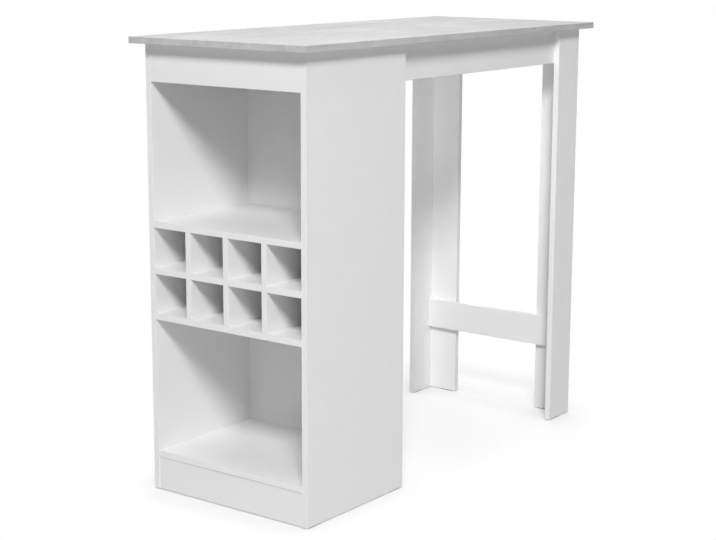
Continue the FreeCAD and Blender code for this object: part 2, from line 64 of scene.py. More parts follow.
camera_data = bpy.data.cameras.new("camera")
camera_data.lens = LENS_MM
camera = bpy.data.objects.new("camera", camera_data)
scene.collection.objects.link(camera)
aim = Euler((CAMERA_TILT, 0, CAMERA_HEADING)).to_matrix().to_4x4()
camera.matrix_world = Matrix.Translation(CAMERA_PLACE) @ aim @ Matrix.Rotation(CAMERA_ROLL, 4, "Z")
scene.camera = camera
print("camera", round(CAMERA_PLACE.length, 2), "m from the table's foot, lens", LENS_MM, "mm")

# %% [markdown]
# ## Small helpers for node trees
# Shaders and Geometry Nodes are both trees of nodes, so one helper adds a node to either: it sets the
# node's properties, and each input gets a value, or a link when the value is another node's socket.
# Sums and blends come up in every finish, and have a short function each.

# %% Node helpers
def add(tree, kind, inputs=None, **properties):
    """Add a node; an input is named by its label or number, and is a value or a socket to link."""
    node = tree.nodes.new(kind)
    for name, value in properties.items():
        setattr(node, name, value)
    for name, value in (inputs or {}).items():
        if isinstance(value, bpy.types.NodeSocket):
            tree.links.new(value, node.inputs[name])
        else:
            node.inputs[name].default_value = value
    return node


def work_out(tree, operation, *terms):
    return add(tree, "ShaderNodeMath", dict(enumerate(terms)), operation=operation).outputs[0]


def spread(tree, value, low, high, start=0.0, end=1.0):
    """Map a value that runs from start to end onto another span."""
    span = {"Value": value, "From Min": start, "From Max": end, "To Min": low, "To Max": high}
    return add(tree, "ShaderNodeMapRange", span).outputs[0]


def blend(tree, share, first, second, way="MIX"):
    """Mix two colours; the share is that of the second."""
    mix = add(tree, "ShaderNodeMix", {0: share, 6: first, 7: second}, data_type="RGBA", blend_type=way)
    return mix.outputs[2]


def new_group(name, kind, inputs, outputs):
    """An empty node group with named sockets, and its two end nodes."""
    tree = bpy.data.node_groups.new(name, kind)
    for in_out, sockets in (("INPUT", inputs), ("OUTPUT", outputs)):
        for label, (socket, default) in sockets.items():
            made = tree.interface.new_socket(label, in_out=in_out, socket_type=f"NodeSocket{socket}")
            if default is not None:
                made.default_value = default
    return tree, tree.nodes.new("NodeGroupInput").outputs, tree.nodes.new("NodeGroupOutput").inputs


print("node helpers ready")

# %% [markdown]
# ## Effects that several finishes share
# Each of these is a shader node group, built once and placed in many materials with other values.
# *Soft patches* is slow, cloudy noise, stretched along one axis where a pattern has a direction, and moved
# where a print starts elsewhere on the board. No pressed or moulded surface is quite even, and it drives
# small changes of colour and gloss.

# %% Soft patches
EVEN = (1.0, 1.0, 1.0)
UNMOVED = (0.0, 0.0, 0.0)
CLOUD_ROUGHNESS = 0.55
NOISE_LOW, NOISE_HIGH = 0.28, 0.72

patches, given, result = new_group(
    "soft_patches", "ShaderNodeTree",
    {"Patches Per Metre": ("Float", 10.0), "Stretch": ("Vector", EVEN), "Shift": ("Vector", UNMOVED),
     "Detail": ("Float", 4.0)},
    {"Share": ("Float", None)},
)
place = add(patches, "ShaderNodeTexCoord").outputs["Object"]
drawn = add(patches, "ShaderNodeMapping", {
    "Vector": place, "Location": given["Shift"], "Scale": given["Stretch"],
}).outputs[0]
cloud = add(patches, "ShaderNodeTexNoise", {
    "Vector": drawn, "Scale": given["Patches Per Metre"], "Detail": given["Detail"],
    "Roughness": CLOUD_ROUGHNESS,
})
patches.links.new(spread(patches, cloud.outputs[0], 0, 1, NOISE_LOW, NOISE_HIGH), result["Share"])
print("soft_patches:", len(patches.nodes), "nodes")

# %% [markdown]
# *Pressed grain* is the fine pearl that a press plate leaves in melamine, and the faint grain of a
# moulding. It is far finer than the other patterns, and only bends the light, so its one output is a
# height for a Bump node.

# %% Pressed grain
PEARL_DETAIL, PEARL_ROUGHNESS = 2.0, 0.5

grain, given, result = new_group(
    "pressed_grain", "ShaderNodeTree", {"Grains Per Metre": ("Float", 900.0)}, {"Height": ("Float", None)},
)
place = add(grain, "ShaderNodeTexCoord").outputs["Object"]
pearl = add(grain, "ShaderNodeTexNoise", {
    "Vector": place, "Scale": given["Grains Per Metre"], "Detail": PEARL_DETAIL,
    "Roughness": PEARL_ROUGHNESS,
})
grain.links.new(pearl.outputs[0], result["Height"])
print("pressed_grain:", len(grain.nodes), "nodes")

# %% [markdown]
# *Banded edge* tells the parts of a board apart. A board's faces look along its thickness, its edges look
# across it, and the broken arris between them looks half way. So the angle between the surface and the
# board's own axis is enough to find the edge band and the fine line where it is trimmed, with no marks
# on the mesh.

# %% Banded edge
EDGE_BELOW = 0.5
FACE_ABOVE = 0.95

band, given, result = new_group(
    "banded_edge", "ShaderNodeTree",
    {"Board Axis": ("Vector", (0.0, 0.0, 1.0))},
    {"Edge": ("Float", None), "Arris": ("Float", None)},
)
facing = add(band, "ShaderNodeTexCoord").outputs["Normal"]
along = add(band, "ShaderNodeVectorMath", {0: facing, 1: given["Board Axis"]}, operation="DOT_PRODUCT")
turned = work_out(band, "ABSOLUTE", along.outputs["Value"])
is_edge = work_out(band, "LESS_THAN", turned, EDGE_BELOW)
not_face = work_out(band, "LESS_THAN", turned, FACE_ABOVE)
band.links.new(is_edge, result["Edge"])
band.links.new(work_out(band, "SUBTRACT", not_face, is_edge), result["Arris"])
print("banded_edge:", len(band.nodes), "nodes")

# %% [markdown]
# ## Helpers for finishes
# Every finish starts from a material with one Principled shader, places the shared groups in it, and ends
# with a fine relief on the shader's normal. A real relief of a hundredth of a millimetre would take millions
# of faces, so a Bump node bends the light instead.

# %% Material helpers
def new_material(name):
    """A material with a bare Principled shader, and that shader's node."""
    material = bpy.data.materials.new(name)
    material.use_nodes = True
    return material, material.node_tree, material.node_tree.nodes["Principled BSDF"]


def add_group(tree, group, values):
    return add(tree, "ShaderNodeGroup", values, node_tree=group).outputs


def emboss(tree, shader, grains, depth):
    """Bend the shader's normal by pressed grain whose full depth is given in metres."""
    height = add_group(tree, grain, {"Grains Per Metre": grains})["Height"]
    bump = add(tree, "ShaderNodeBump", {"Height": height, "Distance": depth, "Strength": 1.0})
    tree.links.new(bump.outputs[0], shader.inputs["Normal"])


print("material helpers ready")

# %% [markdown]
# ## White faced board
# The boards are faced with white melamine paper, pressed to a satin pearl. The face is almost even:
# a trace of mottle in the white, and gloss that drifts slowly along the board. The band on the edges is
# plastic, a touch smoother and cooler than the face. A photograph of the board could be used instead,
# but it would tie the finish to one size and one light.

# %% White melamine
AXES = {"x": (1.0, 0.0, 0.0), "y": (0.0, 1.0, 0.0), "z": (0.0, 0.0, 1.0)}
FACE_WHITE = (0.890, 0.890, 0.888, 1)
FACE_WHITE_LOW = (0.872, 0.872, 0.871, 1)
BAND_WHITE = (0.885, 0.886, 0.888, 1)
TRIM_WHITE = (0.780, 0.780, 0.780, 1)
WHITE_MOTTLE = {"Patches Per Metre": 14.0}
GLOSS_DRIFT = {"Patches Per Metre": 3.0, "Detail": 2.0}
FACE_ROUGHNESS = (0.40, 0.48)
BAND_SMOOTHER_BY = 0.06
WHITE_GRAINS, WHITE_GRAIN_DEPTH = 1400.0, 0.012 * MM


def white_melamine(axis):
    material, tree, shader = new_material(f"white_melamine_{axis}")
    edges = add_group(tree, band, {"Board Axis": AXES[axis]})
    mottle = add_group(tree, patches, WHITE_MOTTLE)["Share"]
    drift = add_group(tree, patches, GLOSS_DRIFT)["Share"]
    colour = blend(tree, mottle, FACE_WHITE, FACE_WHITE_LOW)
    colour = blend(tree, edges["Edge"], colour, BAND_WHITE)
    colour = blend(tree, edges["Arris"], colour, TRIM_WHITE)
    tree.links.new(colour, shader.inputs["Base Color"])
    smoother = work_out(tree, "MULTIPLY", edges["Edge"], BAND_SMOOTHER_BY)
    roughness = work_out(tree, "SUBTRACT", spread(tree, drift, *FACE_ROUGHNESS), smoother)
    tree.links.new(roughness, shader.inputs["Roughness"])
    emboss(tree, shader, WHITE_GRAINS, WHITE_GRAIN_DEPTH)
    return material


white_board = {axis: white_melamine(axis) for axis in AXES}
print("white melamine for boards that lie across", ", ".join(white_board))

# %% [markdown]
# ## The concrete-look top
# The top's paper is printed to look like floated concrete: cloudy patches drawn out along the board, pale
# trowel streaks, darker hairlines beside them, a speckle of sand and two sizes of air hole. The holes come
# first. They are the middles of Voronoi cells, because noise alone gives no round shapes.

# %% Air holes
LARGE_HOLES = dict(per_metre=38.0, core=0.03, rim=0.09, left_out=0.74)
SMALL_HOLES = dict(per_metre=110.0, core=0.04, rim=0.13, left_out=0.80)
HOLE_STRENGTH = 0.7


def air_holes(tree, per_metre, core, rim, left_out):
    """Round holes in the middle of some Voronoi cells, picked by the cell's random colour."""
    place = add(tree, "ShaderNodeTexCoord").outputs["Object"]
    cells = add(tree, "ShaderNodeTexVoronoi", {"Vector": place, "Scale": per_metre})
    dots = spread(tree, cells.outputs["Distance"], HOLE_STRENGTH, 0, core, rim)
    draw = add(tree, "ShaderNodeSeparateColor", {0: cells.outputs["Color"]}).outputs[0]
    return work_out(tree, "MULTIPLY", dots, work_out(tree, "GREATER_THAN", draw, left_out))


for holes in (LARGE_HOLES, SMALL_HOLES):
    print(f"holes in {1 - holes['left_out']:.0%} of the cells,", holes["per_metre"], "cells a metre")

# %% [markdown]
# Every other layer is noise at its own scale, and the layers are mixed from the largest down: the table of
# layers gives each one's size and direction, and the shares say how much of it shows. The band on the edges
# carries the same print, a trace darker. The paper is matt, so the top gives back less light than plain
# plastic would.

# %% Concrete laminate
CONCRETE_PALE = (0.690, 0.688, 0.690, 1)
CONCRETE_DEEP = (0.446, 0.444, 0.446, 1)
CONCRETE_STREAK = (0.780, 0.778, 0.780, 1)
CONCRETE_HOLE = (0.300, 0.298, 0.300, 1)
EDGE_SHADE = (0.95, 0.95, 0.95, 1)
NO_SHADE = (1, 1, 1, 1)
CLOUDS = {"Patches Per Metre": 7.0, "Stretch": (0.35, 1, 1), "Shift": (0.44, -2.92, -1.70), "Detail": 6.0}
MOTTLE = {"Patches Per Metre": 45.0, "Stretch": (0.6, 1, 1)}
STREAKS = {"Patches Per Metre": 60.0, "Stretch": (0.06, 1, 1), "Detail": 3.0}
HAIRLINES = {"Patches Per Metre": 190.0, "Stretch": (0.035, 1, 1), "Detail": 2.0}
SAND = {"Patches Per Metre": 520.0, "Detail": 3.0}
CLOUD_SHARE, MOTTLE_SHARE = 0.6, 0.4
STREAK_SHARE = dict(low=0, high=0.45, start=0.55, end=1.0)
HAIRLINE_SHARE = dict(low=0, high=0.35, start=0.60, end=0.95)
SAND_SHARE = dict(low=0, high=0.30, start=0.30, end=1.0)
CONCRETE_ROUGHNESS = (0.58, 0.70)
CONCRETE_SPECULAR = 0.35
CONCRETE_GRAINS, CONCRETE_GRAIN_DEPTH = 700.0, 0.02 * MM


def concrete_laminate():
    material, tree, shader = new_material("concrete_laminate")
    clouds, mottle, streaks, hairlines, sand = (
        add_group(tree, patches, layer)["Share"] for layer in (CLOUDS, MOTTLE, STREAKS, HAIRLINES, SAND)
    )
    cloudy = work_out(tree, "MULTIPLY", clouds, CLOUD_SHARE)
    base = work_out(tree, "ADD", cloudy, work_out(tree, "MULTIPLY", mottle, MOTTLE_SHARE))
    colour = blend(tree, base, CONCRETE_PALE, CONCRETE_DEEP)
    colour = blend(tree, spread(tree, streaks, **STREAK_SHARE), colour, CONCRETE_STREAK)
    colour = blend(tree, spread(tree, hairlines, **HAIRLINE_SHARE), colour, CONCRETE_DEEP)
    colour = blend(tree, spread(tree, sand, **SAND_SHARE), colour, CONCRETE_DEEP)
    for holes in (LARGE_HOLES, SMALL_HOLES):
        colour = blend(tree, air_holes(tree, **holes), colour, CONCRETE_HOLE)
    edges = add_group(tree, band, {"Board Axis": AXES["z"]})
    shade = blend(tree, edges["Edge"], NO_SHADE, EDGE_SHADE)
    tree.links.new(blend(tree, 1.0, colour, shade, "MULTIPLY"), shader.inputs["Base Color"])
    tree.links.new(spread(tree, base, *CONCRETE_ROUGHNESS), shader.inputs["Roughness"])
    shader.inputs["Specular IOR Level"].default_value = CONCRETE_SPECULAR
    emboss(tree, shader, CONCRETE_GRAINS, CONCRETE_GRAIN_DEPTH)
    return material


top_finish = concrete_laminate()
print(top_finish.name, "with", len(top_finish.node_tree.nodes), "nodes")

# %% [markdown]
# ## Finishes of the hardware
# The fittings are plated steel, die-cast zinc, beech and moulded plastic. They differ in colour, gloss and
# the size of their grain, but are made up alike: two tones mixed by soft patches, gloss from the same
# patches, and a fine grain in the surface. So one function makes all five, each with its own values.
# Beech gets its long fibres from patches that are stretched along the dowel.

# %% Hardware finishes
FIBRES_ALONG_Y = (1.0, 0.08, 1.0)
HARDWARE_FINISHES = {
    "plated_steel": dict(
        pale=(0.640, 0.645, 0.655, 1), deep=(0.540, 0.545, 0.550, 1), roughness=(0.24, 0.36), metal=1.0,
        patch={"Patches Per Metre": 500.0}, grains=4000.0, depth=0.004 * MM),
    "zinc_casting": dict(
        pale=(0.520, 0.525, 0.530, 1), deep=(0.400, 0.405, 0.415, 1), roughness=(0.44, 0.60), metal=1.0,
        patch={"Patches Per Metre": 350.0}, grains=2600.0, depth=0.020 * MM),
    "beech": dict(
        pale=(0.600, 0.410, 0.230, 1), deep=(0.450, 0.275, 0.135, 1), roughness=(0.55, 0.70), metal=0.0,
        patch={"Patches Per Metre": 900.0, "Stretch": FIBRES_ALONG_Y}, grains=3000.0, depth=0.020 * MM),
    "white_plastic": dict(
        pale=(0.800, 0.800, 0.785, 1), deep=(0.755, 0.755, 0.740, 1), roughness=(0.36, 0.46), metal=0.0,
        patch={"Patches Per Metre": 120.0}, grains=3500.0, depth=0.010 * MM),
    "grey_plastic": dict(
        pale=(0.185, 0.185, 0.190, 1), deep=(0.145, 0.145, 0.150, 1), roughness=(0.42, 0.55), metal=0.0,
        patch={"Patches Per Metre": 150.0}, grains=3000.0, depth=0.012 * MM),
}


def hardware_finish(name, pale, deep, roughness, metal, patch, grains, depth):
    material, tree, shader = new_material(name)
    cloudy = add_group(tree, patches, patch)["Share"]
    tree.links.new(blend(tree, cloudy, pale, deep), shader.inputs["Base Color"])
    tree.links.new(spread(tree, cloudy, *roughness), shader.inputs["Roughness"])
    shader.inputs["Metallic"].default_value = metal
    emboss(tree, shader, grains, depth)
    return material


finishes = {name: hardware_finish(name, **values) for name, values in HARDWARE_FINISHES.items()}
print("hardware finishes:", ", ".join(finishes))

# %% [markdown]
# ## Dress the boards
# Every CAD board keeps its mesh and gets its finish in its material slot. A white board's finish depends
# on the axis that it is thin along, because that tells its faces from its banded edges. The cams and the
# glides have their true shape in CAD, and only need their finish.

# %% Dress the boards
BOARD_AXES = {
    "x": ("cabinet_back_panel", "cabinet_plinth", "cabinet_fascia", "leg_return_left", "leg_return_right",
          "apron_end", "leg_stretcher"),
    "y": ("cabinet_side_left", "cabinet_side_right", "rack_divider_1", "rack_divider_2", "rack_divider_3",
          "leg_face_left", "leg_face_right", "apron_left", "apron_right"),
    "z": ("cabinet_bottom_panel", "rack_bottom_shelf", "rack_middle_shelf", "rack_top_shelf"),
}
KEPT_HARDWARE = {"cam_discs": "zinc_casting", "floor_glides": "grey_plastic"}


def dress(name, material):
    """Give a CAD node one finish."""
    mesh = nodes[name].data
    mesh.materials.clear()
    mesh.materials.append(material)


for axis, names in BOARD_AXES.items():
    for name in names:
        dress(name, white_board[axis])
dress("tabletop", top_finish)
for name, finish in KEPT_HARDWARE.items():
    dress(name, finishes[finish])
print(sum(map(len, BOARD_AXES.values())), "white boards, the top and", len(KEPT_HARDWARE), "fittings dressed")

# %% [markdown]
# ## Where the hardware sits
# Each hardware node of the CAD model holds several loose solids. Their places could be typed in again,
# but then they would drift apart from the model. So a copy of the node's mesh is welded and walked from
# point to point along its edges, and each island of points is one solid. Its box gives its middle and
# its long axis, and for a screw the wider end is the head.

# %% Solids of a node
WELD = 0.001 * MM
END_REACH = 0.2 * MM


def solids(name):
    """The points of each separate solid of a CAD node."""
    form = bmesh.new()
    form.from_mesh(nodes[name].data)
    bmesh.ops.remove_doubles(form, verts=form.verts, dist=WELD)
    found, seen = [], set()
    for start in form.verts:
        if start in seen:
            continue
        island, waiting = [], [start]
        seen.add(start)
        while waiting:
            vert = waiting.pop()
            island.append(vert.co.copy())
            fresh = [edge.other_vert(vert) for edge in vert.link_edges if edge.other_vert(vert) not in seen]
            seen.update(fresh)
            waiting.extend(fresh)
        found.append(island)
    form.free()
    return found


def box_of(points):
    low = Vector([min(point[k] for point in points) for k in range(3)])
    high = Vector([max(point[k] for point in points) for k in range(3)])
    return low, high


def end_width(points, axis, level):
    """How far across a solid reaches at one of its ends."""
    low, high = box_of([point for point in points if abs(point[axis] - level) < END_REACH])
    return (high - low).length


def unit(axis, sign):
    way = Vector((0, 0, 0))
    way[axis] = sign
    return way


for name in ("panel_screws", "cam_bolts", "screw_caps", "wood_dowels", "corner_blocks"):
    print(name, "has", len(solids(name)), "solids")

# %% [markdown]
# A *place* is a point and a turn. A screw's place is the middle of its head with local +Z out of the head.
# A cap's place is on the board with +Z off the board, and a dowel's is its middle with +Z along it.

# %% Places of round hardware
def turned_to(way):
    return way.to_track_quat("Z", "Y")


def screw_place(points):
    low, high = box_of(points)
    axis = max(range(3), key=lambda k: high[k] - low[k])
    at_high = end_width(points, axis, high[axis]) > end_width(points, axis, low[axis])
    head = (low + high) / 2
    head[axis] = high[axis] if at_high else low[axis]
    return head, turned_to(unit(axis, 1 if at_high else -1))


def cap_place(points):
    low, high = box_of(points)
    axis = min(range(3), key=lambda k: high[k] - low[k])
    seat = (low + high) / 2
    out = 1 if seat[axis] > 0 else -1
    seat[axis] = low[axis] if out > 0 else high[axis]
    return seat, turned_to(unit(axis, out))


def dowel_place(points):
    low, high = box_of(points)
    axis = max(range(3), key=lambda k: high[k] - low[k])
    return (low + high) / 2, turned_to(unit(axis, 1))


screw_places = [screw_place(points) for points in solids("panel_screws")]
bolt_places = [screw_place(points) for points in solids("cam_bolts")]
cap_places = [cap_place(points) for points in solids("screw_caps")]
dowel_places = [dowel_place(points) for points in solids("wood_dowels")]
print(len(screw_places), "screws,", len(bolt_places), "cam bolts,", len(cap_places), "caps and",
      len(dowel_places), "dowels placed")

# %% [markdown]
# A corner block sits in the corner between two boards, and its nose is cut off. In its box seen end on,
# the one corner with no point is the nose, and the corner across from it is where the boards meet. The
# block's place is that meeting edge at half its length, with local X and Y along the two boards.

# %% Places of corner blocks
def block_place(points):
    low, high = box_of(points)
    length_axis = max(range(3), key=lambda k: high[k] - low[k])
    first, second = (k for k in range(3) if k != length_axis)
    taken = {
        (abs(point[first] - high[first]) < END_REACH, abs(point[second] - high[second]) < END_REACH)
        for point in points
        if min(abs(point[first] - low[first]), abs(point[first] - high[first])) < END_REACH
        and min(abs(point[second] - low[second]), abs(point[second] - high[second])) < END_REACH
    }
    nose = next((a, b) for a in (False, True) for b in (False, True) if (a, b) not in taken)
    along_x = unit(first, 1 if nose[0] else -1)
    along_y = unit(second, 1 if nose[1] else -1)
    corner = (low + high) / 2
    corner[first] = low[first] if nose[0] else high[first]
    corner[second] = low[second] if nose[1] else high[second]
    turn = Matrix((along_x, along_y, along_x.cross(along_y))).transposed()
    return corner, turn.to_quaternion()


block_places = [block_place(points) for points in solids("corner_blocks")]
print(len(block_places), "corner blocks placed")

# %% [markdown]
# ## From a rule to a plain mesh
# Hardware that repeats is made with Geometry Nodes: the tree builds one piece from its named sizes, sets
# it on every place and makes the copies real. These helpers are the steps that the trees share.
# A cut can leave points a hair apart, so after each cut such points are merged.

# %% Geometry helpers
SLIVER = 0.02 * MM


def part_tree(name, sizes):
    """A Geometry Nodes tree with a size input for each name, and a finish."""
    inputs = {"Geometry": ("Geometry", None)}
    inputs.update({label: ("Float", size) for label, size in sizes.items()})
    inputs["Finish"] = ("Material", None)
    return new_group(name, "GeometryNodeTree", inputs, {"Geometry": ("Geometry", None)})


def moved(tree, mesh, shift, turn=(0.0, 0.0, 0.0)):
    place = {"Geometry": mesh, "Translation": shift, "Rotation": turn}
    return add(tree, "GeometryNodeTransform", place).outputs[0]


def vector(tree, x=0.0, y=0.0, z=0.0):
    return add(tree, "ShaderNodeCombineXYZ", {"X": x, "Y": y, "Z": z}).outputs[0]


def where(tree):
    """The parts X, Y and Z of each point's place."""
    position = add(tree, "GeometryNodeInputPosition").outputs[0]
    return add(tree, "ShaderNodeSeparateXYZ", {0: position}).outputs


def carve(tree, operation, first, others):
    """Join solids, or cut the others away from the first, and close up slivers that the cut leaves."""
    cut = add(tree, "GeometryNodeMeshBoolean", operation=operation, solver="EXACT")
    if first is not None:
        tree.links.new(first, cut.inputs["Mesh 1"])
    for other in others:
        tree.links.new(other, cut.inputs["Mesh 2"])
    closed = add(tree, "GeometryNodeMergeByDistance", {
        "Geometry": cut.outputs["Mesh"], "Distance": SLIVER,
    })
    return closed.outputs[0]


def set_on_places(tree, given, result, piece):
    turn = add(tree, "GeometryNodeInputNamedAttribute", {"Name": "turn"}, data_type="QUATERNION")
    copies = add(tree, "GeometryNodeInstanceOnPoints", {
        "Points": given["Geometry"], "Instance": piece, "Rotation": turn.outputs["Attribute"],
    })
    real = add(tree, "GeometryNodeRealizeInstances", {"Geometry": copies.outputs[0]})
    dressed = add(tree, "GeometryNodeSetMaterial", {
        "Geometry": real.outputs[0], "Material": given["Finish"],
    })
    tree.links.new(dressed.outputs[0], result["Geometry"])


print("geometry helpers ready")

# %% [markdown]
# The places travel to a tree as bare points with their turn in an attribute. The result is read from the
# evaluated object as a plain mesh, so that no modifier is left on it. Moulded pieces get their edges broken
# by a Bevel modifier on the way, because Geometry Nodes have no bevel of their own. Edges that turn by more
# than a set angle stay sharp, and the rest is shaded smooth.

# %% Bake a tree to a piece
SHARP_FROM = math.radians(32)
SHARP_FROM_CHAMFER = math.radians(13)
BROKEN_FROM = math.radians(35)


def bake(name, tree, places, finish, sizes=None, broken_edge=0.0):
    """Run a tree on places, and keep the result as a piece that rides with the table."""
    points = bpy.data.meshes.new(name + "_places")
    points.from_pydata([place for place, turn in places], [], [])
    turns = points.attributes.new("turn", "QUATERNION", "POINT")
    for value, (place, turn) in zip(turns.data, places):
        value.value = turn
    carrier = bpy.data.objects.new(name + "_places", points)
    scene.collection.objects.link(carrier)
    rule = carrier.modifiers.new("rule", "NODES")
    rule.node_group = tree
    values = {"Finish": finishes[finish], **(sizes or {})}
    for socket in tree.interface.items_tree:
        if socket.in_out == "INPUT" and socket.name in values:
            rule[socket.identifier] = values[socket.name]
    if broken_edge:
        edges = carrier.modifiers.new("broken_edges", "BEVEL")
        edges.width = broken_edge
        edges.segments = 1
        edges.limit_method = "ANGLE"
        edges.angle_limit = BROKEN_FROM
        edges.use_clamp_overlap = False
    ready = carrier.evaluated_get(bpy.context.evaluated_depsgraph_get())
    mesh = bpy.data.meshes.new_from_object(ready)
    bpy.data.objects.remove(carrier)
    mesh.shade_smooth()
    mesh.set_sharp_from_angle(angle=SHARP_FROM_CHAMFER if broken_edge else SHARP_FROM)
    piece = bpy.data.objects.new(name, mesh)
    scene.collection.objects.link(piece)
    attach(piece, "root")
    print(name, "with", len(piece.data.polygons), "faces at", len(places), "places")
    return piece


print("edges stay sharp from", round(math.degrees(SHARP_FROM)), "degrees")

# %% [markdown]
# ## A thread and a driver's cross
# Screws and cam bolts both have a thread. A helix could be swept along the shank, but it would need joining
# to it. Here the shank is a plain cylinder with many rings, and a wave that climbs by one pitch a turn says
# how far each point stands out: zero in the root, one on the crest. As a node group it serves both trees.
# Their heads have a cross recess, which is two crossed bars cut away.

# %% Thread wave and cross recess
BAR_LENGTH_SHARE, BAR_WIDTH_SHARE = 1.15, 0.26

thread_wave, given, result = new_group(
    "thread_wave", "GeometryNodeTree", {"Pitch": ("Float", 2 * MM)},
    {"Depth": ("Float", None), "Wave": ("Float", None)},
)
at = where(thread_wave)
depth = work_out(thread_wave, "MULTIPLY", at["Z"], -1)
round_share = work_out(thread_wave, "DIVIDE", work_out(thread_wave, "ARCTAN2", at["Y"], at["X"]), math.tau)
turns = work_out(thread_wave, "DIVIDE", depth, given["Pitch"])
saw = work_out(thread_wave, "FRACT", work_out(thread_wave, "SUBTRACT", turns, round_share))
slope = work_out(thread_wave, "SUBTRACT", work_out(thread_wave, "MULTIPLY", saw, 2), 1)
thread_wave.links.new(depth, result["Depth"])
wave = work_out(thread_wave, "SUBTRACT", 1, work_out(thread_wave, "ABSOLUTE", slope))
thread_wave.links.new(wave, result["Wave"])


def threaded(tree, pitch):
    """Each point's depth below the head, and how far the thread stands out there."""
    return add(tree, "GeometryNodeGroup", {"Pitch": pitch}, node_tree=thread_wave).outputs


def turned_pin(tree, sides, rows, length, start, radius):
    """A cylinder of unit radius below the head, turned to a radius that changes from point to point."""
    reach = work_out(tree, "SUBTRACT", length, start)
    pin = add(tree, "GeometryNodeMeshCylinder", {
        "Vertices": sides, "Side Segments": rows, "Radius": 1.0, "Depth": reach,
    }).outputs[0]
    half_way = work_out(tree, "MULTIPLY", work_out(tree, "ADD", length, start), -0.5)
    pin = moved(tree, pin, vector(tree, z=half_way))
    at = where(tree)
    place = vector(tree, work_out(tree, "MULTIPLY", at["X"], radius),
                   work_out(tree, "MULTIPLY", at["Y"], radius), at["Z"])
    return add(tree, "GeometryNodeSetPosition", {"Geometry": pin, "Position": place}).outputs[0]


def cross_bars(tree, head_radius, depth):
    """Two bars across the top of a head, twice as high as the recess is deep."""
    bars = []
    height = work_out(tree, "MULTIPLY", depth, 2)
    length = work_out(tree, "MULTIPLY", head_radius, BAR_LENGTH_SHARE)
    width = work_out(tree, "MULTIPLY", head_radius, BAR_WIDTH_SHARE)
    for size in (vector(tree, length, width, height), vector(tree, width, length, height)):
        bars.append(add(tree, "GeometryNodeMeshCube", {"Size": size}).outputs[0])
    return bars


print("thread_wave:", len(thread_wave.nodes), "nodes")

# %% [markdown]
# ## Wood screws
# The aprons and the stretcher are held by countersunk wood screws. Two simple solids make one: a cone for
# the head and a turned pin for the shank. The thread fades in under the head and narrows to the point.

# %% Wood screw
SCREW_SIZES = {
    "Length": 25 * MM, "Head Radius": 4 * MM, "Head Height": 2.2 * MM, "Crest Radius": 2 * MM,
    "Core Radius": 1.45 * MM, "Pitch": 1.8 * MM, "Point Length": 4 * MM,
}
HEAD_SIDES = 24
RECESS_SHARE = 0.5
SHANK_SIDES = 12
ROWS_PER_PITCH = 5
BLUNT_POINT = 0.12
BURIED = 0.4 * MM

screw, given, result = part_tree("wood_screw", SCREW_SIZES)
down_head = vector(screw, z=work_out(screw, "MULTIPLY", given["Head Height"], -1))
cone = add(screw, "GeometryNodeMeshCone", {
    "Vertices": HEAD_SIDES, "Radius Top": given["Head Radius"], "Radius Bottom": given["Core Radius"],
    "Depth": given["Head Height"],
}).outputs[0]
head = moved(screw, cone, down_head)

pitches = work_out(screw, "DIVIDE", given["Length"], given["Pitch"])
thread = threaded(screw, given["Pitch"])
thread_start = work_out(screw, "ADD", given["Head Height"], given["Pitch"])
fade = spread(screw, thread["Depth"], 0, 1, given["Head Height"], thread_start)
standing = work_out(screw, "MULTIPLY", thread["Wave"], fade)
radius = spread(screw, standing, given["Core Radius"], given["Crest Radius"])
point_start = work_out(screw, "SUBTRACT", given["Length"], given["Point Length"])
taper = spread(screw, thread["Depth"], 1, BLUNT_POINT, point_start, given["Length"])
rows = work_out(screw, "MULTIPLY", pitches, ROWS_PER_PITCH)
narrowed = work_out(screw, "MULTIPLY", radius, taper)
shank = turned_pin(screw, SHANK_SIDES, rows, given["Length"], BURIED, narrowed)

recess = work_out(screw, "MULTIPLY", given["Head Height"], RECESS_SHARE)
bars = cross_bars(screw, given["Head Radius"], recess)
whole = carve(screw, "DIFFERENCE", carve(screw, "UNION", None, [head, shank]), bars)
set_on_places(screw, given, result, whole)
panel_screws = bake("apron_and_stretcher_screws", screw, screw_places, "plated_steel")
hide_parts("panel_screws")

# %% [markdown]
# ## Cam bolts
# The bottom panel and the rack are drawn to the cabinet sides by cam bolts: a round head that the cam grips,
# a thin neck, a stout shank and a coarse thread in the side board. It is one turned pin. The head is an arc
# of a circle, the neck and the shank are a step, and the thread is cut into the shank's far end.

# %% Cam bolt
BOLT_SIZES = {
    "Length": 47 * MM, "Head Radius": 3.5 * MM, "Head Height": 4 * MM, "Head Arc": 2.6 * MM,
    "Neck Radius": 2.1 * MM, "Neck End": 8.5 * MM, "Shank Radius": 3 * MM, "Core Radius": 2.2 * MM,
    "Pitch": 2.5 * MM, "Thread Length": 11 * MM,
}
BOLT_SIDES = 16
BOLT_ROWS = 120
BOLT_RECESS_SHARE = 0.4
STEP = 0.6 * MM
TIP_SHARE = 0.7

